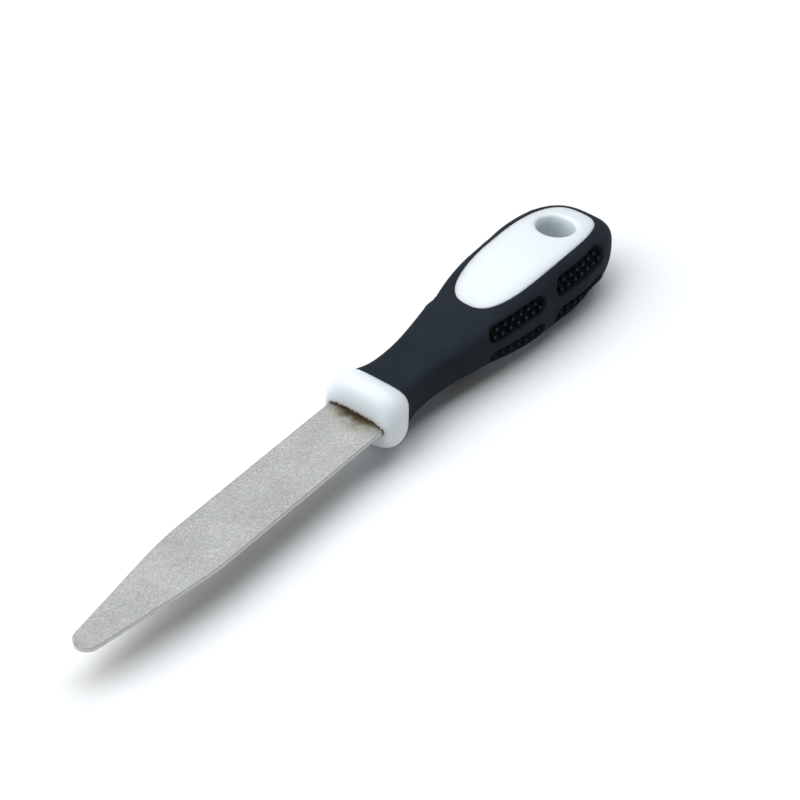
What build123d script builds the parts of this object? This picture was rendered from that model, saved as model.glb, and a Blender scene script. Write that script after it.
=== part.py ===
"""Flat diamond edge file with a two-shot plastic handle, 160 mm long.

A tongue-shaped steel blade, coated on both faces, is bonded into a hard white core.
The core shows as the bolster, the two oval pads and the hanging bore.
A soft black grip is moulded over the rest of it.

Frame: X runs along the tool from the blade tip (-X) to the tail (+X), +Z is normal to the
blade, Z = 0 is the underside of the grip, and the origin is midway along the tool.
"""

import os
from math import cos, pi, radians, sin

from build123d import *

# ---------------------------------------------------------------- driving dimensions, mm
overall_length = 160.0
belly_half_height = 8.6  # half the thickest point of the grip
tip_x = -overall_length / 2

# blade
blade_width = 13.3
plate_thickness = 0.8
grit_thickness = 0.1  # one bonded layer
tip_radius = 2.75
taper_angle = 8.1  # degrees from the centreline, each side
shoulder_radius = 78.0
mouth_x = tip_x + 79.6  # front face of the bolster
seat_depth = 3.6  # full-width blade inside the bolster
coat_depth = 1.6  # grit layer inside the bolster
tang_width = 7.4
tang_end_width = 5.0
tang_length = 36.0  # behind the full-width part
tang_notch_radius = 0.9

# slot in the core, filled with glue
slot_clearance = 0.25  # on every side of the blade and tang

# handle
core_wall_side = 2.0  # grip thickness over the core, sideways
core_wall_top = 1.7  # and up or down
spine_end = 157.0  # the core's spine reaches no further than this from the tip

# oval pads of the core
pad_front_x = tip_x + 115.2
pad_rear_x = tip_x + 155.5
pad_half_width = 7.4
pad_squareness = 2.8

# hanging bore
bore_x = tip_x + 145.8
bore_radius = 4.2

# pockets of nubs in the grip
pocket_depth = 0.7
pocket_tilt = 16.0  # degrees that a pocket faces up or down from sideways
pocket_reach = 4.0  # half the depth of the slot shape that cuts a pocket
nub_radius = 0.42
nub_pitch = 2.18
nub_row = 7  # row nearer the middle; the other row has one less, half a pitch along
# Front and rear pockets: centre along X, centre above and below the middle of the handle,
# height of the pocket, gap between its two rows of nubs.
pockets = [
    (tip_x + 120.6, 3.8, 4.0, 1.35),
    (tip_x + 141.0, 4.05, 4.6, 1.6),
]

middle_z = belly_half_height

# Stations along the handle: distance from the tip, half width, half height, squareness.
# Squareness is the exponent of the superellipse: 2 is an ellipse, higher is boxier.
bolster_stations = [
    (79.6, 7.3, 4.6, 3.6),
    (79.9, 8.0, 5.6, 3.1),
    (80.8, 8.75, 6.5, 2.8),
    (82.6, 9.15, 7.0, 2.7),
    (84.8, 8.7, 6.45, 3.1),
    (87.0, 7.35, 5.05, 4.6),
]
neck_stations = [
    (87.0, 7.35, 5.05, 4.6),
    (90.0, 6.45, 4.7, 4.4),
    (94.5, 6.08, 4.45, 4.3),
    (100.0, 6.36, 4.45, 4.2),
    (106.0, 7.28, 4.75, 4.0),
    (112.0, 8.35, 5.5, 3.7),
    (118.0, 9.37, 6.8, 3.4),
    (124.0, 10.15, 7.85, 3.25),
    (129.0, 10.34, 8.45, 3.25),
]
# From the belly back the outline is two rounded curves, one in plan and one in side view.
belly_x = 134.0  # from the tip
belly_half_width = 10.45
hip_x = 140.0
hip_half_width = 10.85
plan_roundness = 2.42
side_roundness = 2.15
grip_squareness = 3.25
tail_steps = 10


def rounded_off(along, start, size, roundness):
    """A size that closes to nothing at the tail, on a superellipse that begins at start."""
    share = max(0.0, (along - start) / (overall_length - start))
    return size * (1 - share**roundness) ** (1 / roundness)


def tail_station(step):
    """A station from the belly (step 0) to just short of the very end (tail_steps)."""
    along = overall_length - (overall_length - belly_x) * (1 - 0.96 * step / tail_steps) ** 2
    if along < hip_x:
        swell = (1 - cos(pi * (along - belly_x) / (hip_x - belly_x))) / 2
        half_width = belly_half_width + (hip_half_width - belly_half_width) * swell
    else:
        half_width = rounded_off(along, hip_x, hip_half_width, plan_roundness)
    half_height = rounded_off(along, belly_x, belly_half_height, side_roundness)
    return (along, half_width, half_height, grip_squareness)


def section_points(half_width, half_height, squareness, count=36):
    """Points round a superellipse, across (X) and up (Y) on the section's own plane."""
    points = []
    for i in range(count):
        angle = 2 * pi * i / count
        c, s = cos(angle), sin(angle)
        reach = (abs(c) ** squareness + abs(s) ** squareness) ** (-1 / squareness)
        points.append((half_width * reach * c, half_height * reach * s))
    return points


def ring_edge(points):
    """A closed smooth edge; even parameters keep every section's knots the same."""
    parameters = [i / len(points) for i in range(len(points) + 1)]
    return Edge.make_spline([Vector(*point) for point in points], periodic=True, parameters=parameters)


def section_plane(along):
    """The plane across the handle at a distance from the tip."""
    return Plane(origin=(tip_x + along, 0, middle_z), x_dir=(0, 1, 0), z_dir=(1, 0, 0))


def handle_body(stations, inset_side=0.0, inset_top=0.0):
    """A solid through the stations, drawn in by the insets."""
    with BuildPart() as body:
        for along, half_width, half_height, squareness in stations:
            with BuildSketch(section_plane(along)):
                with BuildLine():
                    ring = section_points(half_width - inset_side, half_height - inset_top, squareness)
                    add(ring_edge(ring))
                make_face()
        loft()
    return body.part


def blade_outline(front_x, rear_x, half_width):
    """The tongue's outline: round tip, straight tapers, large shoulder radius, parallel edges."""
    slope = radians(taper_angle)
    touch_x = front_x + tip_radius * (1 - sin(slope))
    touch_y = tip_radius * cos(slope)
    corner_x = touch_x + (half_width - touch_y) * cos(slope) / sin(slope)
    with BuildLine() as outline:
        upper = FilletPolyline(
            (touch_x, touch_y), (corner_x, half_width), (rear_x, half_width), radius=shoulder_radius
        )
        mirror(upper, about=Plane.XZ)
        ThreePointArc((touch_x, touch_y), (front_x, 0), (touch_x, -touch_y))
        Line((rear_x, half_width), (rear_x, -half_width))
    return outline.line


half_plate = plate_thickness / 2
half_stack = half_plate + grit_thickness
seat_x = mouth_x + seat_depth
tang_end_x = seat_x + tang_length
grip_stations = neck_stations + [tail_station(step) for step in range(tail_steps + 1)]

# ---------------------------------------------------------------- blade and its coatings
with BuildPart() as blade_plate:
    with BuildSketch(Plane.XY.offset(middle_z - half_plate)):
        with BuildLine():
            add(blade_outline(tip_x, seat_x, blade_width / 2))
        make_face()
    extrude(amount=plate_thickness)
    with BuildSketch(Plane.XY.offset(middle_z - half_plate)):
        with BuildLine():
            Polyline(
                (seat_x - 0.5, tang_width / 2),
                (seat_x, tang_width / 2),
                (tang_end_x, tang_end_width / 2),
                (tang_end_x, -tang_end_width / 2),
                (seat_x, -tang_width / 2),
                (seat_x - 0.5, -tang_width / 2),
                close=True,
            )
        make_face()
        notch_places = [
            (seat_x + tang_length * share, side * (tang_width + (tang_end_width - tang_width) * share) / 2)
            for share in (0.4, 0.6, 0.8)
            for side in (1, -1)
        ]
        with Locations(*notch_places):
            Circle(tang_notch_radius, mode=Mode.SUBTRACT)
    extrude(amount=plate_thickness)
blade_plate.part.label = "blade_plate"


def grit_layer(bottom_z):
    """One coated face of the blade."""
    with BuildPart() as layer:
        with BuildSketch(Plane.XY.offset(bottom_z)):
            with BuildLine():
                add(blade_outline(tip_x, mouth_x + coat_depth, blade_width / 2))
            make_face()
        extrude(amount=grit_thickness)
    return layer.part


abrasive_upper = grit_layer(middle_z + half_plate)
abrasive_upper.label = "abrasive_upper"
abrasive_lower = grit_layer(middle_z - half_stack)
abrasive_lower.label = "abrasive_lower"

# ---------------------------------------------------------------- shapes shared by core and grip
outer_body = handle_body(grip_stations)
spine_stations = [station for station in grip_stations if station[0] < spine_end]
spine_body = handle_body(spine_stations, core_wall_side, core_wall_top)
pocket_floor = handle_body(grip_stations[:-2], pocket_depth, pocket_depth)

pad_length = pad_rear_x - pad_front_x
pad_middle_x = (pad_front_x + pad_rear_x) / 2
with BuildPart() as oval_pads:
    with BuildSketch(Plane.XY.offset(-belly_half_height)):
        with BuildLine():
            ring = section_points(pad_length / 2, pad_half_width, pad_squareness)
            add(ring_edge([(pad_middle_x + x, y) for x, y in ring]))
        make_face()
    extrude(amount=4 * belly_half_height)
    add(outer_body, mode=Mode.INTERSECT)

# ---------------------------------------------------------------- white core
with BuildPart() as handle_core:
    add(handle_body(bolster_stations))
    add(spine_body)
    add(oval_pads.part)
    # slot for the blade and the tang
    with BuildSketch(Plane.XY.offset(middle_z - half_stack - slot_clearance)):
        seat_end_x = seat_x + slot_clearance
        with Locations(((mouth_x - 1 + seat_end_x) / 2, 0)):
            Rectangle(seat_end_x - mouth_x + 1, blade_width + 2 * slot_clearance)
        with Locations(((seat_end_x - 1 + tang_end_x + slot_clearance) / 2, 0)):
            Rectangle(tang_end_x + slot_clearance - seat_end_x + 1, tang_width + 2 * slot_clearance)
    extrude(amount=2 * (half_stack + slot_clearance), mode=Mode.SUBTRACT)
    with Locations((bore_x, 0, middle_z)):
        Cylinder(bore_radius, 4 * belly_half_height, mode=Mode.SUBTRACT)
handle_core.part.label = "handle_core"

# ---------------------------------------------------------------- glue in the slot
with BuildPart() as tang_adhesive:
    with BuildSketch(Plane.XY.offset(middle_z - half_stack - slot_clearance)):
        with Locations(((mouth_x + seat_end_x) / 2, 0)):
            Rectangle(seat_end_x - mouth_x, blade_width + 2 * slot_clearance)
        with Locations(((seat_end_x - 1 + tang_end_x + slot_clearance) / 2, 0)):
            Rectangle(tang_end_x + slot_clearance - seat_end_x + 1, tang_width + 2 * slot_clearance)
    extrude(amount=2 * (half_stack + slot_clearance))
    for piece in (blade_plate.part, abrasive_upper, abrasive_lower):
        add(piece, mode=Mode.SUBTRACT)
tang_adhesive.part.label = "tang_adhesive"


# ---------------------------------------------------------------- black grip
def pocket_plane(centre_x, centre_height, side, up):
    """A plane outside the grip that faces out of a pocket, with its own X along the tool."""
    facing = radians(pocket_tilt)
    return Plane(
        origin=(centre_x, side * hip_half_width, middle_z + up * centre_height),
        x_dir=(1, 0, 0),
        z_dir=(0, side * cos(facing), up * sin(facing)),
    )


# what the pockets take out of the grip: slot shapes that leave the nubs standing
with BuildPart() as pocket_cutters:
    for centre_x, centre_height, height, row_gap in pockets:
        pocket_length = (nub_row - 1) * nub_pitch + 0.8 * height
        for side in (1, -1):
            for up in (1, -1):
                facing_plane = pocket_plane(centre_x, centre_height, side, up)
                with BuildSketch(facing_plane.offset(-pocket_reach)):
                    SlotOverall(pocket_length, height)
                    for row, count in ((-1, nub_row), (1, nub_row - 1)):
                        with Locations((0, -row * side * up * row_gap / 2)):
                            with GridLocations(nub_pitch, 1, count, 1):
                                Circle(nub_radius, mode=Mode.SUBTRACT)
                extrude(amount=2 * pocket_reach)
    add(pocket_floor, mode=Mode.SUBTRACT)

with BuildPart() as grip_overmould:
    add(outer_body)
    add(spine_body, mode=Mode.SUBTRACT)
    add(oval_pads.part, mode=Mode.SUBTRACT)
    add(pocket_cutters.part, mode=Mode.SUBTRACT)
grip_overmould.part.label = "grip_overmould"

# ---------------------------------------------------------------- one file per piece
pieces = [
    blade_plate.part,
    abrasive_upper,
    abrasive_lower,
    tang_adhesive.part,
    handle_core.part,
    grip_overmould.part,
]
os.makedirs("parts", exist_ok=True)
for piece in pieces:
    export_step(piece, f"parts/{piece.label}.step")
    print(piece.label, len(piece.solids()), round(piece.volume, 1), piece.bounding_box())
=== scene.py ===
"""Looks for the diamond edge file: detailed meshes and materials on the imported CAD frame.

Shapes are worked out in millimetres in the tool's own terms: "along" is the distance from the
blade's tip, "across" is to the left, "up" is from the blade's middle plane. in_frame() turns
them into the frame's metres.
"""

import math

import bmesh
import bpy
import numpy as np
from mathutils import Matrix, Vector


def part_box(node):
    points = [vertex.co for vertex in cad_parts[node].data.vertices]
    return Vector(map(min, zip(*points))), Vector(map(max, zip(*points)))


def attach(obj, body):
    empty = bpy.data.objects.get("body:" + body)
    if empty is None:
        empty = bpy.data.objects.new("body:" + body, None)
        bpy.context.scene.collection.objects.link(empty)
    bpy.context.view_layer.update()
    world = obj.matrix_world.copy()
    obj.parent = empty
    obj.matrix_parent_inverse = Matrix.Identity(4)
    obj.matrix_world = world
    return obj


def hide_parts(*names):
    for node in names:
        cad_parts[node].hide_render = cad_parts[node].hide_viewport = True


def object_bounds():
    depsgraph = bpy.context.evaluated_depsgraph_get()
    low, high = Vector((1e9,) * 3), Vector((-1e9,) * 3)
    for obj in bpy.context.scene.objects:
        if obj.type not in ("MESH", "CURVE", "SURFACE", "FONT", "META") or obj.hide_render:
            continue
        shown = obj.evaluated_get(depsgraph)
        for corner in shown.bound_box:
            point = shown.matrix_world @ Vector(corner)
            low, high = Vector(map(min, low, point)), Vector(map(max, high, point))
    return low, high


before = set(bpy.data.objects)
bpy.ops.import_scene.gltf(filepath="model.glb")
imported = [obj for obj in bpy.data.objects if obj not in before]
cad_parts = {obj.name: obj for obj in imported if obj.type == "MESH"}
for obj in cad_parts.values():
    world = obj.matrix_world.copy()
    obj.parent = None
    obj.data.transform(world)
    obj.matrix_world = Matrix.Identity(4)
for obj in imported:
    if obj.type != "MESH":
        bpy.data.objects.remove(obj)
cad_low, cad_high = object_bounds()

MM = 0.001
ROOT = "root"
LENGTH = 160.0  # tip to tail
plate_low, plate_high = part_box("blade_plate")
ORIGIN = np.array([cad_low[0] / MM, 0.0, (plate_low[2] + plate_high[2]) / 2 / MM])

# ---------------------------------------------------------------- sizes, mm
# Along the handle: distance from the tip, half width, half height, squareness.
NECK = np.array([
    (87.0, 7.35, 5.05, 4.6),
    (90.0, 6.45, 4.7, 4.4),
    (94.5, 6.08, 4.45, 4.3),
    (100.0, 6.36, 4.45, 4.2),
    (106.0, 7.28, 4.75, 4.0),
    (112.0, 8.35, 5.5, 3.7),
    (118.0, 9.37, 6.8, 3.4),
    (124.0, 10.15, 7.85, 3.25),
    (129.0, 10.34, 8.45, 3.25),
    (134.0, 10.45, 8.6, 3.25),
])
BOLSTER = np.array([
    (87.0, 7.35, 5.05, 4.6),
    (86.0, 8.05, 5.85, 3.7),
    (84.8, 8.7, 6.5, 3.0),
    (83.2, 9.1, 6.95, 2.75),
    (81.7, 8.95, 6.7, 2.7),
    (80.6, 8.4, 5.8, 2.75),
    (79.85, 7.8, 4.2, 3.0),
    (79.55, 7.2, 2.4, 3.8),
])
GRIP_START = 87.0
BELLY, HIP = 134.0, 140.0
HIP_HALF_WIDTH = 10.85
PLAN_ROUNDNESS, SIDE_ROUNDNESS = 2.42, 2.15
TAIL_FLAT = 0.07  # the tail ends in a small flat, this far short of the full length

PAD_FRONT, PAD_REAR = 115.2, 155.5
PAD_HALF_WIDTH, PAD_SQUARENESS = 7.4, 2.8
WINDOW_DEPTH = 0.9  # how far the grip sinks at the oval window's edge
PAD_SNAP = 0.07  # grid points this near the oval's edge are moved onto it
SKIN = 0.02  # the grip stands this far inside the plain shape, so it stays in the CAD's box
FLASH_WIDTH, FLASH_HEIGHT = 0.12, 0.02  # the mould's parting line
BORE, BORE_RADIUS, BORE_RIM = 145.8, 4.2, 0.9

# Front and rear pockets: centre along, centre up or down, height, gap between the rows of nubs.
POCKETS = ((120.6, 3.8, 4.0, 1.35), (141.0, 4.05, 4.6, 1.6))
POCKET_DEPTH, POCKET_TILT = 1.35, math.radians(16)
POCKET_WALL, POCKET_SLOPE = 0.44, 1.2  # how wide its wall and the slope at the floor's edge are
POCKET_LIP = 0.05  # how proud the bead round it stands
NUB_PITCH, NUB_ROW, NUB_RADIUS = 2.18, 7, 0.42
# Radius, in nub radii, and height of each ring of a nub, from below the floor to its domed top.
NUB_PROFILE = (
    (1.12, -1.55), (1.12, -1.25), (1.0, -1.05), (0.92, -0.5), (0.8, -0.3), (0.56, -0.17), (0.28, -0.11),
)
NUB_SIDES = 14
NUB_DOME, NUB_TOP = -0.4, -0.1
TIP_HIGHLIGHT = 0.5  # how much lighter the nubs' domed tops are painted, a painted highlight, from 0 to 1
EDGE_ROW_DROP = 0.2  # the row nearer the pad stands this much lower

BLADE_HALF_WIDTH = 6.65
TIP_RADIUS, TAPER, SHOULDER_RADIUS = 2.75, math.radians(8.1), 78.0
MOUTH = 79.6
PLATE_HALF = 0.4
GRIT_TOP = 0.5
SLOT_HALF_WIDTH, SLOT_HALF_HEIGHT = 6.95, 1.0
MOUTH_ARCH = 0.75  # how much further back the slot's lip is at its middle than at its ends
SLOT_DEPTH = 3.8
# Section of the plate's edge: how far in, how far up.
PLATE_EDGE = (
    (0.04, -PLATE_HALF), (0.015, -0.385), (0.0, -0.33), (0.0, 0.0),
    (0.0, 0.33), (0.015, 0.385), (0.04, PLATE_HALF),
)
# The glue's rings: share of its creep out of the slot, half width, half height.
BEAD_RINGS = (
    (0.0, 6.92, SLOT_HALF_HEIGHT), (0.06, 6.88, 0.82), (0.4, 6.82, 0.72),
    (0.8, 6.76, 0.6), (1.0, 6.66, 0.46),
)
BEAD_BACK = ((6.62, 0.44), (6.9, 0.86))  # half width and half height of its rings inside the slot


# ---------------------------------------------------------------- small tools
def in_frame(points):
    """Tool millimetres to frame metres."""
    return (np.asarray(points) + ORIGIN) * MM


def natural_spline(knots, values):
    """A smooth curve through values (one row per knot), as a function of the knot's variable."""
    count = len(knots)
    gaps = np.diff(knots)
    system = np.eye(count)
    right = np.zeros_like(values)
    slopes = np.diff(values, axis=0) / gaps[:, None]
    for i in range(1, count - 1):
        system[i, i - 1 : i + 2] = gaps[i - 1], 2 * (gaps[i - 1] + gaps[i]), gaps[i]
        right[i] = 6 * (slopes[i] - slopes[i - 1])
    bend = np.linalg.solve(system, right)

    def at(where):
        where = np.atleast_1d(where)
        i = np.clip(np.searchsorted(knots, where, side="right") - 1, 0, count - 2)
        gap = gaps[i][:, None]
        ahead = (knots[i + 1] - where)[:, None]
        past = (where - knots[i])[:, None]
        curved = (bend[i] * ahead**3 + bend[i + 1] * past**3) / (6 * gap)
        start = (values[i] / gap - bend[i] * gap / 6) * ahead
        end = (values[i + 1] / gap - bend[i + 1] * gap / 6) * past
        return curved + start + end

    return at


def ease(t):
    """0 below 0, 1 above 1, smooth between."""
    t = np.clip(t, 0.0, 1.0)
    return t * t * (3 - 2 * t)


def ring_reach(angle, squareness):
    """Cosine and sine pushed out to a superellipse."""
    c, s = np.cos(angle), np.sin(angle)
    reach = (np.abs(c) ** squareness + np.abs(s) ** squareness) ** (-1 / squareness)
    return c * reach, s * reach


def ripple(angle, waves, seed):
    """A closed wavy line from -1 to 1 or so: the sum of a few waves with fixed random phases."""
    rng = np.random.default_rng(seed)
    total = np.zeros_like(angle)
    for wave in waves:
        total += np.sin(wave * angle + rng.uniform(0, 2 * math.pi)) / math.sqrt(len(waves))
    return total


def grid_faces(rows, columns, wrap):
    """Quads of a grid of rows by columns, closed round its columns if wrap."""
    steps = columns if wrap else columns - 1
    i, j = np.meshgrid(np.arange(rows - 1), np.arange(steps), indexing="ij")
    k = (j + 1) % columns
    quads = np.stack([i * columns + j, i * columns + k, (i + 1) * columns + k, (i + 1) * columns + j], -1)
    return quads.reshape(-1, 4)


def end_caps(loops, columns):
    """Fans that close the first and last loop of a grid, to two points numbered after its own."""
    around = np.arange(columns)
    ahead = (around + 1) % columns
    last, centre = (loops - 1) * columns, loops * columns
    front = np.stack([ahead, around, np.full(columns, centre)], -1)
    rear = np.stack([last + around, last + ahead, np.full(columns, centre + 1)], -1)
    return front.tolist() + rear.tolist()


def make_piece(name, points, faces, material, slot, *replaced):
    """A smooth-shaded mesh object in the frame, riding on the body."""
    mesh = bpy.data.meshes.new(name)
    mesh.from_pydata(in_frame(points).tolist(), [], [list(f) for f in faces])
    shell = bmesh.new()
    shell.from_mesh(mesh)
    bmesh.ops.recalc_face_normals(shell, faces=shell.faces)
    shell.to_mesh(mesh)
    shell.free()
    mesh.polygons.foreach_set("use_smooth", [True] * len(mesh.polygons))
    mesh.materials.append(material)
    piece = bpy.data.objects.new(name, mesh)
    bpy.context.collection.objects.link(piece)
    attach(piece, ROOT)
    if replaced:
        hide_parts(*replaced)
    return piece


# ---------------------------------------------------------------- the handle's outer shape
neck_curve = natural_spline(NECK[:, 0], NECK[:, 1:])


def rounded_off(along, start, size, roundness):
    """A size that closes to nothing at the tail, on a superellipse that begins at start."""
    share = np.clip((along - start) / (LENGTH - start), 0, 1)
    return size * (1 - share**roundness) ** (1 / roundness)


def grip_size(along):
    """Half width, half height and squareness of the grip at distances from the tip."""
    along = np.atleast_1d(np.asarray(along, float))
    size = neck_curve(np.minimum(along, BELLY))
    width, height, square = size.T.copy()
    belly_width, belly_height, belly_square = NECK[-1, 1:]
    swell = (1 - np.cos(np.pi * np.clip((along - BELLY) / (HIP - BELLY), 0, 1))) / 2
    rear = along > BELLY
    hip_width = belly_width + (HIP_HALF_WIDTH - belly_width) * swell
    tail_width = rounded_off(along, HIP, HIP_HALF_WIDTH, PLAN_ROUNDNESS)
    width[rear] = np.where(along > HIP, tail_width, hip_width)[rear]
    height[rear] = rounded_off(along, BELLY, belly_height, SIDE_ROUNDNESS)[rear]
    square[rear] = belly_square
    return width, height, square


def grip_top(along, across):
    """Height of the handle's upper surface over a point."""
    width, height, square = grip_size(along)
    share = np.clip(np.abs(across) / width, 0, 0.999)
    return height * (1 - share**square) ** (1 / square)


def pad_outline(angle):
    """Along and across, round the oval pad's edge."""
    c, s = ring_reach(angle, PAD_SQUARENESS)
    middle, half = (PAD_FRONT + PAD_REAR) / 2, (PAD_REAR - PAD_FRONT) / 2
    return middle + half * c, PAD_HALF_WIDTH * s


def pad_distance(along, across):
    """Roughly how far a point lies outside the pad's edge; negative inside. And the way out."""
    middle, half = (PAD_FRONT + PAD_REAR) / 2, (PAD_REAR - PAD_FRONT) / 2
    u, v = (along - middle) / half, across / PAD_HALF_WIDTH
    n = PAD_SQUARENESS
    level = (np.abs(u) ** n + np.abs(v) ** n + 1e-9) ** (1 / n)
    du = np.sign(u) * np.abs(u / level) ** (n - 1) / half
    dv = np.sign(v) * np.abs(v / level) ** (n - 1) / PAD_HALF_WIDTH
    steep = np.hypot(du, dv) + 1e-9
    return (level - 1) / steep, du / steep, dv / steep


def pocket_frames():
    """Each pocket's centre, its way from the middle of the side to the edge, its way out, its
    height and the gap between its rows."""
    for along, centre_up, height, row_gap in POCKETS:
        for side in (1, -1):
            for up in (1, -1):
                out = np.array([0, side * math.cos(POCKET_TILT), up * math.sin(POCKET_TILT)])
                rise = np.array([0, -side * math.sin(POCKET_TILT), up * math.cos(POCKET_TILT)])
                yield np.array([along, side * HIP_HALF_WIDTH, up * centre_up]), rise, out, height, row_gap


def pocket_edge(points, centre, rise, out, height):
    """How far points lie outside a pocket's slot shape; far where they are on another side."""
    half_run = (NUB_ROW - 1) * NUB_PITCH / 2 - 0.1 * height
    beyond = np.maximum(np.abs(points[..., 0] - centre[0]) - half_run, 0)
    off = (points - centre) @ rise
    edge = np.hypot(beyond, off) - height / 2
    return np.where(points @ out > 0, edge, 9.0)


# ---------------------------------------------------------------- materials
def new_material(name):
    """A material with its node tree and its main shader."""
    material = bpy.data.materials.new(name)
    material.use_nodes = True
    return material, material.node_tree, material.node_tree.nodes["Principled BSDF"]


def add_node(tree, kind, **settings):
    """A node with its input sockets, or else its own settings, filled in by name."""
    node = tree.nodes.new(kind)
    for key, value in settings.items():
        if key in node.inputs:
            node.inputs[key].default_value = value
        else:
            setattr(node, key, value)
    return node


def object_place(tree):
    """Where a point is on its own mesh, in metres."""
    return add_node(tree, "ShaderNodeTexCoord").outputs["Object"]


def noise_value(tree, place, scale, detail=3.0, rough=0.55):
    """Cloudy noise between 0 and 1, with about scale waves to the metre."""
    node = add_node(tree, "ShaderNodeTexNoise", Scale=scale, Detail=detail, Roughness=rough)
    tree.links.new(place, node.inputs["Vector"])
    return node.outputs["Fac"]


def ramp_value(tree, value, stops):
    """A colour ramp; each stop is (position, colour)."""
    node = add_node(tree, "ShaderNodeValToRGB")
    elements = node.color_ramp.elements
    while len(elements) < len(stops):
        elements.new(0.5)
    for element, (position, colour) in zip(elements, stops):
        element.position = position
        element.color = (*colour, 1.0)
    tree.links.new(value, node.inputs["Fac"])
    return node.outputs["Color"]


def grey(level):
    """A neutral colour."""
    return (level, level, level)


def mix_colour(tree, factor, first, second, blend="MIX"):
    """Colours mixed; the node's colour sockets are its inputs 6 and 7 and its output 2."""
    node = add_node(tree, "ShaderNodeMix", data_type="RGBA", blend_type=blend)
    for index, value in ((0, factor), (6, first), (7, second)):
        if isinstance(value, bpy.types.NodeSocket):
            tree.links.new(value, node.inputs[index])
        else:
            node.inputs[index].default_value = value if index == 0 else (*value, 1.0)
    return node.outputs[2]


def math_value(tree, operation, first, second=0.0, clamp=False):
    """Two values, each a number or a socket, put through one operation; kept from 0 to 1 if clamp."""
    node = add_node(tree, "ShaderNodeMath", operation=operation, use_clamp=clamp)
    for socket, value in zip(node.inputs, (first, second)):
        if isinstance(value, bpy.types.NodeSocket):
            tree.links.new(value, socket)
        else:
            socket.default_value = value
    return node.outputs[0]


def bump(tree, shader, height, distance, strength=1.0):
    """Fine relief; distance is its depth in metres."""
    node = add_node(tree, "ShaderNodeBump", Strength=strength, Distance=distance)
    tree.links.new(height, node.inputs["Height"])
    tree.links.new(node.outputs["Normal"], shader.inputs["Normal"])


def white_plastic():
    """Hard white plastic, faintly smudged, that lets a little light in under its skin."""
    material, tree, shader = new_material("white_plastic")
    place = object_place(tree)
    cloud = noise_value(tree, place, 90.0, 2.0)
    colour = ramp_value(tree, cloud, [(0.3, (0.695, 0.745, 0.78)), (0.7, (0.715, 0.76, 0.79))])
    tree.links.new(colour, shader.inputs["Base Color"])
    fine = noise_value(tree, place, 2600.0, 2.0)
    smudge = noise_value(tree, place, 220.0, 4.0)
    rough = ramp_value(tree, smudge, [(0.3, grey(0.30)), (0.75, grey(0.42))])
    tree.links.new(rough, shader.inputs["Roughness"])
    shader.inputs["Subsurface Weight"].default_value = 1.0
    shader.inputs["Subsurface Radius"].default_value = (0.0040, 0.0041, 0.0042)
    shader.inputs["Subsurface Scale"].default_value = 1.0
    shader.inputs["IOR"].default_value = 1.5
    bump(tree, shader, math_value(tree, "ADD", fine, math_value(tree, "MULTIPLY", smudge, 2.0)), 0.000012)
    return material


def black_rubber():
    """Matte rubber with painted light from a mesh attribute: painted shade, near-black, where it is 1
    (pocket walls, floors and nub sides), and a painted highlight on the nubs' tops where it is below 0.
    """
    material, tree, shader = new_material("black_rubber")
    place = object_place(tree)
    cloud = noise_value(tree, place, 140.0, 3.0)
    matte = ramp_value(tree, cloud, [(0.3, (0.013, 0.017, 0.023)), (0.72, (0.017, 0.022, 0.0295))])
    painted_light = add_node(tree, "ShaderNodeAttribute", attribute_name="painted_light").outputs["Fac"]
    # painted shade: near-black base colour where the attribute is positive, in the pockets
    shade_share = math_value(tree, "MULTIPLY", painted_light, 0.85, clamp=True)
    black = mix_colour(tree, shade_share, matte, (0.0015, 0.0018, 0.002))
    # painted highlight: lighter base colour where the attribute is negative, on the nubs' domed tops
    wear_and_highlight = math_value(tree, "MULTIPLY", painted_light, -1.0, clamp=True)
    colour = mix_colour(tree, wear_and_highlight, black, (0.045, 0.05, 0.06))
    tree.links.new(colour, shader.inputs["Base Color"])
    pores = noise_value(tree, place, 5200.0, 2.0, 0.6)
    rub = noise_value(tree, place, 260.0, 4.0)
    rough = ramp_value(tree, rub, [(0.3, grey(0.74)), (0.75, grey(0.86))])
    tree.links.new(rough, shader.inputs["Roughness"])
    shader.inputs["Specular IOR Level"].default_value = 0.1
    shader.inputs["Specular Tint"].default_value = (0.80, 0.91, 1.0, 1.0)
    bump(tree, shader, pores, 0.00003, 0.6)
    return material


def grit(name, dirt_side):
    """Bonded diamond grit; dirt_side is 1 where the glue stain shows, 0 where it doesn't."""
    material, tree, shader = new_material(name)
    place = object_place(tree)
    split = add_node(tree, "ShaderNodeSeparateXYZ")
    tree.links.new(place, split.inputs[0])
    grain = add_node(tree, "ShaderNodeTexVoronoi", Scale=5200.0)
    tree.links.new(place, grain.inputs["Vector"])
    shade = add_node(tree, "ShaderNodeSeparateColor")
    tree.links.new(grain.outputs["Color"], shade.inputs[0])
    tone = ramp_value(tree, shade.outputs[0], [
        (0.0, (0.295, 0.295, 0.29)), (0.2, (0.365, 0.362, 0.354)),
        (0.8, (0.405, 0.402, 0.395)), (1.0, (0.515, 0.512, 0.5))])
    tint = noise_value(tree, place, 700.0, 3.0)
    tinted = ramp_value(tree, tint, [(0.35, (0.96, 0.99, 0.95)), (0.65, (1.0, 0.97, 1.0))])
    colour = mix_colour(tree, 1.0, tone, tinted, "MULTIPLY")
    wear_and_highlight = noise_value(tree, place, 130.0, 4.0)
    worn_tone = ramp_value(tree, wear_and_highlight, [(0.3, grey(0.90)), (0.7, grey(1.06))])
    colour = mix_colour(tree, 1.0, colour, worn_tone, "MULTIPLY")
    if dirt_side:
        colour = stained(tree, place, split, colour)
    tree.links.new(colour, shader.inputs["Base Color"])
    shader.inputs["Metallic"].default_value = 0.45
    rough = ramp_value(tree, shade.outputs[1], [(0.0, grey(0.38)), (1.0, grey(0.68))])
    tree.links.new(rough, shader.inputs["Roughness"])
    bump(tree, shader, grain.outputs["Distance"], 0.00005, 0.5)
    return material


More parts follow.
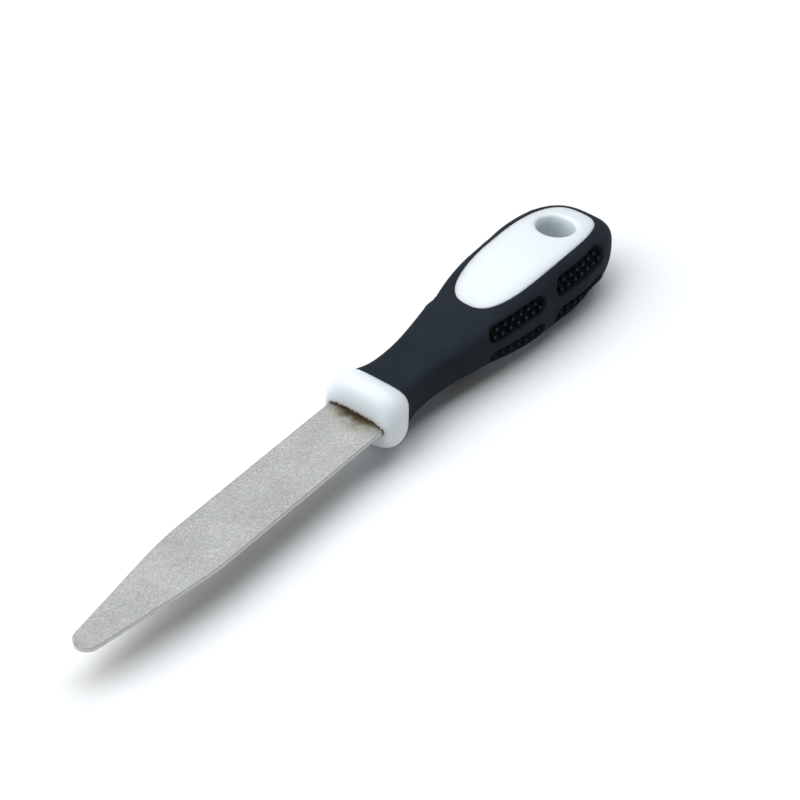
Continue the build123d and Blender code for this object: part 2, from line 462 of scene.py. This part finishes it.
def stained(tree, place, split, colour):
    """The brown glue stain that creeps out of the slot, strongest at its middle; metres."""
    half_width, longest, fade, halo_width = 0.0068, 0.0063, 0.0022, 0.0036
    mouth = float(in_frame((MOUTH + MOUTH_ARCH, 0, 0))[0])
    ahead = math_value(tree, "SUBTRACT", mouth, split.outputs["X"])
    creep = noise_value(tree, place, 420.0, 3.0, 0.5)
    aside = math_value(tree, "DIVIDE", split.outputs["Y"], half_width)
    narrow = math_value(tree, "SUBTRACT", 1.0, math_value(tree, "MULTIPLY", aside, aside), clamp=True)
    reach = math_value(tree, "MULTIPLY", math_value(tree, "MULTIPLY", creep, narrow), longest)
    beyond = math_value(tree, "SUBTRACT", reach, ahead)
    deep = math_value(tree, "DIVIDE", beyond, fade, clamp=True)
    halo = math_value(tree, "DIVIDE", math_value(tree, "ADD", beyond, fade), halo_width, clamp=True)
    colour = mix_colour(tree, math_value(tree, "MULTIPLY", halo, 0.7), colour, (0.27, 0.235, 0.15))
    return mix_colour(tree, math_value(tree, "MULTIPLY", deep, 0.92), colour, (0.095, 0.066, 0.03))


def bright_steel():
    """Ground steel with fine lines along the blade."""
    material, tree, shader = new_material("bright_steel")
    place = object_place(tree)
    stretch = add_node(tree, "ShaderNodeMapping")
    stretch.inputs["Scale"].default_value = (0.08, 1.0, 1.0)
    tree.links.new(place, stretch.inputs["Vector"])
    lines = noise_value(tree, stretch.outputs["Vector"], 9000.0, 3.0)
    colour = ramp_value(tree, lines, [(0.3, (0.50, 0.50, 0.49)), (0.7, (0.62, 0.62, 0.61))])
    tree.links.new(colour, shader.inputs["Base Color"])
    shader.inputs["Metallic"].default_value = 0.6
    rough = ramp_value(tree, lines, [(0.3, grey(0.42)), (0.7, grey(0.6))])
    tree.links.new(rough, shader.inputs["Roughness"])
    bump(tree, shader, lines, 0.00001)
    return material


def brown_epoxy():
    """Cured glue in mottled dark brown."""
    material, tree, shader = new_material("brown_epoxy")
    place = object_place(tree)
    cloud = noise_value(tree, place, 900.0, 4.0)
    colour = ramp_value(tree, cloud, [(0.3, (0.012, 0.009, 0.005)), (0.7, (0.075, 0.048, 0.018))])
    tree.links.new(colour, shader.inputs["Base Color"])
    rough = ramp_value(tree, cloud, [(0.3, grey(0.45)), (0.7, grey(0.7))])
    tree.links.new(rough, shader.inputs["Roughness"])
    bump(tree, shader, noise_value(tree, place, 4000.0, 3.0), 0.00004)
    return material


# ---------------------------------------------------------------- black grip
def grip_rows():
    """Distances from the tip of the grip's rings: close where there are pockets and the window."""
    front = GRIP_START + np.array([0.0, 0.04, 0.1, 0.2, 0.4])
    neck = np.linspace(GRIP_START + 0.9, 111.0, 44)
    body = np.linspace(111.2, 156.4, 226)
    turn = np.linspace(0.5, 1.0, 26)[1:] * math.pi / 2
    first = math.sin(math.pi / 4)
    tail = body[-1] + (LENGTH - body[-1]) * (np.sin(turn) - first) / (1 - first)
    tail = np.unique(np.minimum(tail, LENGTH - TAIL_FLAT))
    return np.concatenate([front, neck, body, tail])


def grip_base(rows, columns):
    """The plain outer surface, and its outward directions."""
    width, height, square = grip_size(rows)
    angle = np.arange(columns) * 2 * math.pi / columns
    c, s = np.cos(angle)[None, :], np.sin(angle)[None, :]
    n = square[:, None]
    reach = (np.abs(c) ** n + np.abs(s) ** n) ** (-1 / n)
    across, up = width[:, None] * reach * c, height[:, None] * reach * s
    points = np.stack(np.broadcast_arrays(rows[:, None], across, up), -1)
    down_rows = np.gradient(points, axis=0)
    round_ring = np.roll(points, -1, axis=1) - np.roll(points, 1, axis=1)
    out = np.cross(round_ring, down_rows)
    out /= np.linalg.norm(out, axis=-1, keepdims=True) + 1e-12
    out *= np.sign(np.sum(out * points * [0, 1, 1], axis=-1, keepdims=True) + 1e-12)
    return points, out


def snapped_to_pad(points):
    """Moves the points nearest the oval's edge onto it, so that the rim is a clean line."""
    distance, du, dv = pad_distance(points[..., 0], points[..., 1])
    near = np.abs(distance) < PAD_SNAP
    points = points.copy()
    points[..., 0] -= np.where(near, distance * du, 0)
    points[..., 1] -= np.where(near, distance * dv, 0)
    moved_up = grip_top(points[..., 0].ravel(), points[..., 1].ravel()).reshape(near.shape)
    points[..., 2] = np.where(near, np.sign(points[..., 2]) * moved_up, points[..., 2])
    return points


def make_grip(material):
    """The soft black shot: neck, belly and tail, oval windows, pockets with nubs, parting line."""
    columns = 360
    rows = grip_rows()
    points, out = grip_base(rows, columns)
    points = snapped_to_pad(points)
    sink = np.zeros(points.shape[:2])
    # a small round at the front edge, where the grip meets the bolster
    sink += 0.16 * (1 - ease((rows - GRIP_START) / 0.3))[:, None] ** 2
    # the oval window, under the pad
    distance = pad_distance(points[..., 0], points[..., 1])[0]
    sink += WINDOW_DEPTH * ease((-0.02 - distance) / 0.3) + 0.05 * ease((0.16 - distance) / 0.16)
    # pockets; their walls and floor carry painted shade, a near-black base colour, through the mesh
    # attribute
    painted_light = np.zeros(points.shape[:2])
    for centre, rise, outward, height, _ in pocket_frames():
        edge = pocket_edge(points, centre, rise, outward, height)
        inside = ease((POCKET_WALL / 2 - edge) / POCKET_WALL)
        painted_light = np.maximum(painted_light, inside)
        sink += POCKET_DEPTH * (0.8 * inside + 0.2 * ease(-edge / POCKET_SLOPE))
        sink -= POCKET_LIP * np.exp(-(((edge - 0.55) / 0.3) ** 2))
    # the mould's parting line round the sides and tail
    flash = np.exp(-((points[..., 2] / FLASH_WIDTH) ** 2)) * (rows > GRIP_START + 0.5)[:, None]
    sink += SKIN + FLASH_HEIGHT * (1 - flash)
    points = points - out * sink[..., None]

    faces = grid_faces(len(rows), columns, True)
    faces = faces[~(distance < -0.9).ravel()[faces].all(axis=1)]
    flat = np.concatenate([points, painted_light[..., None]], axis=-1).reshape(-1, 4)
    in_window = (distance.ravel() < -0.5) & (flat[:, 2] > 0)
    walls = window_walls(faces, in_window, columns)
    centres = [flat[:columns].mean(axis=0), flat[-columns:].mean(axis=0)]
    everything = faces.tolist() + walls.tolist() + end_caps(len(rows), columns)
    vertices, everything = drop_unused(np.concatenate([flat, centres]), everything)
    nub_points, nub_faces = make_nubs(len(vertices))
    vertices = np.concatenate([vertices, nub_points])
    everything += nub_faces
    piece = make_piece("soft_grip", vertices[:, :3], everything, material, "black_rubber", "grip_overmould")
    # the mesh attribute that carries the painted shade and the painted highlight to the rubber material
    painted_light_layer = piece.data.attributes.new(name="painted_light", type="FLOAT", domain="POINT")
    painted_light_layer.data.foreach_set("value", vertices[:, 3])
    return piece


def window_walls(faces, in_window, columns):
    """Quads that join the upper window's edge to the lower one's, straight down."""
    edges = np.concatenate([faces[:, [i, (i + 1) % 4]] for i in range(4)])
    count = len(in_window)
    lone = ~np.isin(edges[:, 0] * count + edges[:, 1], edges[:, 1] * count + edges[:, 0])
    start, end = edges[lone & in_window[edges].all(axis=1)].T

    def below(vertex):
        return vertex // columns * columns + (columns - vertex % columns) % columns

    return np.stack([end, start, below(start), below(end)], -1)


def drop_unused(vertices, faces):
    """The vertices that some face uses, and the faces with their new numbers."""
    used = sorted({v for face in faces for v in face})
    place = {old: new for new, old in enumerate(used)}
    return vertices[used], [[place[v] for v in face] for face in faces]


def make_nubs(start):
    """Short round studs with domed ends that stand in the pockets: points, each with its painted light,
    that is painted shade on the lower sides and a painted highlight on the dome.

    start is the number that the first point will have in the grip's mesh.
    """
    turn = np.arange(NUB_SIDES) * 2 * math.pi / NUB_SIDES
    points, faces = [], []
    for centre, rise, out, _, row_gap in pocket_frames():
        for row, count, drop in ((-1, NUB_ROW, 0.0), (1, NUB_ROW - 1, EDGE_ROW_DROP)):
            for k in range(count):
                along = centre[0] + (k - (count - 1) / 2) * NUB_PITCH
                root = np.array([along, centre[1], centre[2]]) + rise * row * row_gap / 2
                edges = [root + rise * NUB_RADIUS * edge for edge in (-1, 0, 1)]
                top = root + out * (min(reach_of_surface(edge, out) for edge in edges) - drop)
                first = start + len(points)
                for size, height in NUB_PROFILE:
                    # painted shade on the nub's lower rings, a painted highlight fading in over its dome
                    painted_light = 1.0 if height < NUB_DOME else -TIP_HIGHLIGHT * ease((height - NUB_DOME) / 0.2)
                    for angle in turn:
                        around = np.array([math.cos(angle), 0, 0]) + rise * math.sin(angle)
                        points.append([*(top + out * height + NUB_RADIUS * size * around), painted_light])
                points.append([*(top + out * NUB_TOP), -TIP_HIGHLIGHT])
                faces += (grid_faces(len(NUB_PROFILE), NUB_SIDES, True) + first).tolist()
                last = first + (len(NUB_PROFILE) - 1) * NUB_SIDES
                peak = last + NUB_SIDES
                faces += [[last + i, last + (i + 1) % NUB_SIDES, peak] for i in range(NUB_SIDES)]
                faces.append([first + i for i in range(NUB_SIDES)])
    return np.array(points), faces


def reach_of_surface(point, out):
    """How far along out, from the point, the grip's outer shape is met."""
    width, height, square = (float(v[0]) for v in grip_size(point[0]))
    low, high = -6.0, 4.0
    for _ in range(40):
        reach = (low + high) / 2
        spot = point + out * reach
        inside = abs(spot[1] / width) ** square + abs(spot[2] / height) ** square < 1
        low, high = (reach, high) if inside else (low, reach)
    return low


# ---------------------------------------------------------------- white core: pads and bore
def rounded_drop(radius, inset):
    """How far a rounded edge lies below its face, at a distance in from its outermost point."""
    return radius - math.sqrt(max(radius**2 - (radius - inset) ** 2, 0))


def make_pads():
    """The block that shows as two oval pads, with the hanging bore through it."""
    columns = 256
    angle = np.arange(columns) * 2 * math.pi / columns
    edge_x, edge_y = pad_outline(angle)
    bore_x, bore_y = BORE + BORE_RADIUS * np.cos(angle), BORE_RADIUS * np.sin(angle)
    span = np.hypot(edge_x - bore_x, edge_y - bore_y)
    edge_round, gap, wall = 0.3, 0.03, 1.2
    rings, drops = [], []
    # from the bottom of the bore's rim, over the pad, to its outer edge: share of the way, drop
    for inset in BORE_RIM * np.array([0.0, 0.03, 0.1, 0.2, 0.35, 0.52, 0.75, 1.0]):
        rings.append(inset / span)
        drops.append(rounded_drop(BORE_RIM, inset))
    for t in np.linspace(0, 1, 34)[1:-1]:
        rings.append((BORE_RIM + t * (span - BORE_RIM - edge_round - gap)) / span)
        drops.append(0.0)
    for inset in (edge_round, 0.22, 0.14, 0.07, 0.02, 0.0):
        rings.append((span - gap - inset) / span)
        drops.append(rounded_drop(edge_round, inset))
    top = []
    for share, drop in zip(rings, drops):
        x = bore_x + (edge_x - bore_x) * share
        y = bore_y + (edge_y - bore_y) * share
        top.append(np.stack([x, y, grip_top(x, y) - drop], -1))
    top = np.array(top)
    outer_wall = [top[-1] - [0, 0, wall]]
    bottom = top[::-1] * [1, 1, -1]
    lower_wall = [bottom[0] + [0, 0, wall]]
    bore_wall = [bottom[-1] + (top[0] - bottom[-1]) * t for t in np.linspace(0, 1, 12)[1:-1]]
    loops = np.concatenate([top, outer_wall, lower_wall, bottom, bore_wall])
    faces = grid_faces(len(loops) + 1, columns, True) % (len(loops) * columns)
    return loops.reshape(-1, 3), faces[:, ::-1]


# ---------------------------------------------------------------- white core: bolster
def mouth_arch(across):
    """How far back the slot's lip is; across runs from -1 to 1 over the slot."""
    return MOUTH_ARCH * np.clip(1 - across**2, 0, 1) * (1 + 0.5 * across)


def make_bolster():
    """The pillow-shaped front of the core, with the ragged slot that the blade goes into."""
    columns = 288
    angle = np.arange(columns) * 2 * math.pi / columns
    steps = np.concatenate([[0], np.cumsum(np.linalg.norm(np.diff(BOLSTER[:, :3], axis=0), axis=1))])
    curve = natural_spline(steps, BOLSTER)
    stations = curve(np.linspace(0, steps[-1], 60))
    loops = []
    # the back edge, slightly rounded, against the grip
    width, height, square = stations[0, 1:]
    c, s = ring_reach(angle, square)
    for inset, back in ((1.6, 0.0), (0.5, 0.0), (0.12, 0.0), (0.03, 0.05)):
        along = np.full(columns, GRIP_START - 0.02 - back)
        loops.append(np.stack([along, (width - inset) * c, (height - inset) * s], -1))
    for along, width, height, square in stations[1:]:
        c, s = ring_reach(angle, square)
        loops.append(np.stack([np.full(columns, along), width * c, height * s], -1))
    # over the lip and into the slot
    c, s = ring_reach(angle, 7.0)
    ragged = ripple(angle, (5, 9, 16, 27, 38, 52), 4)
    arch = mouth_arch(c)
    lip = np.stack([MOUTH + arch + 0.17 * ripple(angle, (7, 12, 19, 26, 37), 9),
                    SLOT_HALF_WIDTH * c + 0.03 * ragged, (SLOT_HALF_HEIGHT + 0.2 * ragged) * s], -1)
    face = loops[-1]
    for t in (0.2, 0.4, 0.6, 0.75, 0.88, 0.96):
        along = face[:, 0] + (lip[:, 0] - face[:, 0]) * t**3
        across = face[:, 1:] + (lip[:, 1:] - face[:, 1:]) * t
        loops.append(np.column_stack([along - 0.05 * math.sin(math.pi * t), across]))
    loops.append(lip + [0.08, 0, 0])
    inner = np.stack([MOUTH + 0.5 + arch, SLOT_HALF_WIDTH * c, SLOT_HALF_HEIGHT * s], -1)
    loops.append(lip * 0.4 + inner * 0.6)
    loops.append(inner)
    loops.append(np.column_stack([np.full(columns, MOUTH + SLOT_DEPTH), inner[:, 1:]]))
    loops = np.array(loops)
    faces = grid_faces(len(loops), columns, True).tolist() + end_caps(len(loops), columns)
    ends = [loops[0].mean(axis=0), loops[-1].mean(axis=0)]
    return np.concatenate([loops.reshape(-1, 3), ends]), faces


def make_core(material):
    """The hard white shot, as far as it shows: pads' block and bolster."""
    pad_points, pad_faces = make_pads()
    bolster_points, bolster_faces = make_bolster()
    faces = [*pad_faces.tolist(), *[[v + len(pad_points) for v in f] for f in bolster_faces]]
    points = np.concatenate([pad_points, bolster_points])
    return make_piece("white_core", points, faces, material, "white_plastic", "handle_core")


# ---------------------------------------------------------------- blade
def blade_half_width(along):
    """The tongue's half width: round tip, straight taper, large shoulder radius, parallel edges."""
    along = np.asarray(along, float)
    touch_x = TIP_RADIUS * (1 - math.sin(TAPER))
    touch_y = TIP_RADIUS * math.cos(TAPER)
    corner = touch_x + (BLADE_HALF_WIDTH - touch_y) / math.tan(TAPER)
    tangent = SHOULDER_RADIUS * math.tan(TAPER / 2)
    tip = np.sqrt(np.clip(2 * TIP_RADIUS * along - along**2, 0, None))
    taper = touch_y + (along - touch_x) * math.tan(TAPER)
    end = corner + tangent
    bow = np.sqrt(np.clip(SHOULDER_RADIUS**2 - (end - along) ** 2, 0, None))
    arc = BLADE_HALF_WIDTH - SHOULDER_RADIUS + bow
    start = corner - tangent * math.cos(TAPER)
    width = np.where(along < touch_x, tip, np.where(along < start, taper, arc))
    return np.where(along > end, BLADE_HALF_WIDTH, width)


def blade_rows(spacing, end):
    """Distances from the tip, closer together round its end."""
    turn = np.linspace(0.03, math.pi / 2, 26)
    tip = TIP_RADIUS * (1 - np.cos(turn))
    return np.concatenate([tip, np.arange(TIP_RADIUS + spacing, end, spacing), [end]])


def grains(shape, seed):
    """Heights of packed grit: sharp points, flats between them and a few proud ones."""
    rng = np.random.default_rng(seed)
    fine = rng.normal(size=shape)
    soft = (fine + np.roll(fine, 1, 0) + np.roll(fine, 1, 1) + np.roll(fine, (1, 1), (0, 1))) / 2
    proud = np.clip(rng.normal(size=shape) - 2.1, 0, 1.2)
    return 0.011 * fine + 0.012 * soft + 0.03 * proud


def make_grit_face(name, node, material, side, seed):
    """One coated face of the blade; side is 1 for the upper one and -1 for the lower one."""
    rows = blade_rows(0.17, MOUTH + 2.0)
    columns = 81
    share = np.linspace(-1, 1, columns)
    width = blade_half_width(rows)
    height = grains((len(rows), columns), seed)
    inset, worn_width, worn_depth = 0.03, 0.16, 0.05  # the edges are worn a little
    edge = np.clip((1 - np.abs(share))[None, :] * width[:, None] / worn_width, 0, 1)
    top = GRIT_TOP - worn_depth * (1 - edge) ** 2 + height * (0.35 + 0.65 * edge)
    x = np.maximum(rows[:, None] + height * 0.6, 0.02)
    y = share[None, :] * (width[:, None] - inset) - height * 0.5
    upper = np.stack([x, y, side * top], -1).reshape(-1, 3)
    under_left = np.stack([rows, width - inset, np.full(len(rows), side * PLATE_HALF)], -1)
    under_right = under_left * [1, -1, 1]
    points = np.concatenate([upper, under_right, under_left])
    faces = grid_faces(len(rows), columns, False).tolist()
    right, left = len(upper), len(upper) + len(rows)
    for i in range(len(rows) - 1):
        a, b = i * columns, (i + 1) * columns
        faces.append([a, b, right + i + 1, right + i])
        faces.append([b + columns - 1, a + columns - 1, left + i, left + i + 1])
        faces.append([right + i, right + i + 1, left + i + 1, left + i])
    for i, flip in ((0, 1), (len(rows) - 1, -1)):
        loop = [i * columns + j for j in range(columns)][::-1]
        faces.append([*loop, right + i, left + i][::flip])
    if side > 0:
        faces = [f[::-1] for f in faces]
    return make_piece(name, points, faces, material, "diamond_grit", node)


def make_plate(material):
    """The steel between the grit layers: its bare, slightly nicked edge shows all round."""
    rows = blade_rows(0.6, MOUTH + 3.6)
    width = blade_half_width(rows)
    outline = np.stack([rows, width], -1)
    loop = np.concatenate([outline[::-1], outline * [1, -1]])
    rng = np.random.default_rng(12)
    nick = rng.normal(size=len(loop)) * 0.006
    middle = loop.mean(axis=0)
    away = np.gradient(loop, axis=0)[:, ::-1] * [1, -1]
    away /= np.linalg.norm(away, axis=1, keepdims=True)
    away *= np.sign(np.sum(away * (loop - [middle[0], 0]), axis=1, keepdims=True))
    rings = []
    for inset, up in PLATE_EDGE:
        flat = loop - away * (inset + 0.004 + np.abs(nick[:, None]))
        rings.append(np.concatenate([flat, np.full((len(loop), 1), up)], axis=1))
    rings = np.array(rings)
    count = len(loop)
    faces = grid_faces(len(rings), count, True).tolist()
    half = len(rows)
    for ring, flip in ((0, 1), (len(rings) - 1, -1)):
        base = ring * count
        for i in range(half - 1):
            quad = [base + i, base + i + 1, base + count - 2 - i, base + count - 1 - i]
            faces.append(quad[::flip])
    return make_piece("steel_plate", rings.reshape(-1, 3), faces, material, "blade_steel", "blade_plate")


def make_bead(material):
    """Cured glue in the slot: a lumpy collar that creeps a little way out along the blade."""
    columns = 220
    angle = np.arange(columns) * 2 * math.pi / columns
    c, s = ring_reach(angle, 6.0)
    lumps = ripple(angle, (4, 7, 11, 18, 27), 21)
    on_top = np.clip(s, 0, 1) * np.clip(1.25 - np.abs(c) * 1.1, 0, 1)
    creep = 0.1 + 0.22 * on_top * (1 + lumps)
    loops = []
    for reach, half_width, half_height in BEAD_RINGS:
        x = MOUTH + 0.35 + mouth_arch(c) - reach * (0.35 + creep)
        y, z = half_width * c, half_height * s * (1 + 0.06 * lumps * reach)
        loops.append(np.stack([x, y, z], -1))
    for half_width, half_height in BEAD_BACK:
        loops.append(np.stack([np.full(columns, MOUTH + 2.5), half_width * c, half_height * s], -1))
    loops = np.array(loops)
    faces = grid_faces(len(loops) + 1, columns, True) % (len(loops) * columns)
    return make_piece("glue_bead", loops.reshape(-1, 3), faces.tolist(), material, "epoxy", "tang_adhesive")


# ---------------------------------------------------------------- stage, lights and camera
def make_floor():
    """A plain pale floor just under the tool."""
    material, tree, shader = new_material("pale_floor")
    cloud = noise_value(tree, object_place(tree), 6.0, 2.0)
    colour = ramp_value(tree, cloud, [(0.3, (0.84, 0.845, 0.85)), (0.7, (0.86, 0.863, 0.867))])
    tree.links.new(colour, shader.inputs["Base Color"])
    shader.inputs["Roughness"].default_value = 0.9
    shader.inputs["Specular IOR Level"].default_value = 0.1
    size, depth = 6.0, cad_low[2] - 0.0002
    mesh = bpy.data.meshes.new("floor")
    corners = [(-size, -size, depth), (size, -size, depth), (size, size, depth), (-size, size, depth)]
    mesh.from_pydata(corners, [], [(0, 1, 2, 3)])
    mesh.materials.append(material)
    floor = bpy.data.objects.new("floor", mesh)
    bpy.context.collection.objects.link(floor)


def make_light(name, place, size, power, colour):
    """A round softbox that faces the tool."""
    lamp = bpy.data.lights.new(name, "AREA")
    lamp.shape = "DISK"
    lamp.size = size
    lamp.energy = power
    lamp.color = colour
    light = bpy.data.objects.new(name, lamp)
    light.location = place
    light.rotation_euler = (-Vector(place)).to_track_quat("-Z", "Y").to_euler()
    bpy.context.collection.objects.link(light)


def make_world(strength):
    """Even, faintly blue light from all round."""
    world = bpy.data.worlds.new("studio")
    world.use_nodes = True
    background = world.node_tree.nodes["Background"]
    background.inputs["Color"].default_value = (0.93, 0.97, 1.0, 1.0)
    background.inputs["Strength"].default_value = strength
    bpy.context.scene.world = world


def make_camera():
    """A long lens, 41 degrees up, over the tool's right side, looking from tip to tail."""
    elevation, heading, roll = math.radians(41.12), math.radians(52.87), math.radians(1.23)
    distance, lens = 0.5733, 131.5
    target = Vector(in_frame((89.33, -3.36, 0.0)))
    flat_right = Vector((math.cos(heading), -math.sin(heading), 0))
    ahead = Vector((math.sin(heading), math.cos(heading), 0))
    back = -ahead * math.cos(elevation) + Vector((0, 0, math.sin(elevation)))
    flat_up = ahead * math.sin(elevation) + Vector((0, 0, math.cos(elevation)))
    right = flat_right * math.cos(roll) + flat_up * math.sin(roll)
    up = flat_up * math.cos(roll) - flat_right * math.sin(roll)
    data = bpy.data.cameras.new("camera")
    data.lens, data.sensor_width = lens, 36.0
    data.clip_start, data.clip_end = 0.01, 20.0
    camera = bpy.data.objects.new("camera", data)
    turn = Matrix((right, up, back)).transposed().to_4x4()
    camera.matrix_world = Matrix.Translation(target + back * distance) @ turn
    bpy.context.collection.objects.link(camera)
    bpy.context.scene.camera = camera


make_grip(black_rubber())
make_core(white_plastic())
make_grit_face("grit_upper", "abrasive_upper", grit("stained_grit", 1), 1, 3)
make_grit_face("grit_lower", "abrasive_lower", grit("clean_grit", 0), -1, 5)
make_plate(bright_steel())
make_bead(brown_epoxy())
make_floor()
make_world(0.18)
make_light("key_softbox", (-0.5, 0.38, 0.8), 1.2, 9.6, (1.0, 1.0, 1.0))
make_light("back_softbox", (0.36, 0.15, 0.9), 1.1, 7.8, (0.94, 0.98, 1.0))
make_camera()
view = bpy.context.scene.view_settings
view.view_transform = "Standard"
view.look = "None"
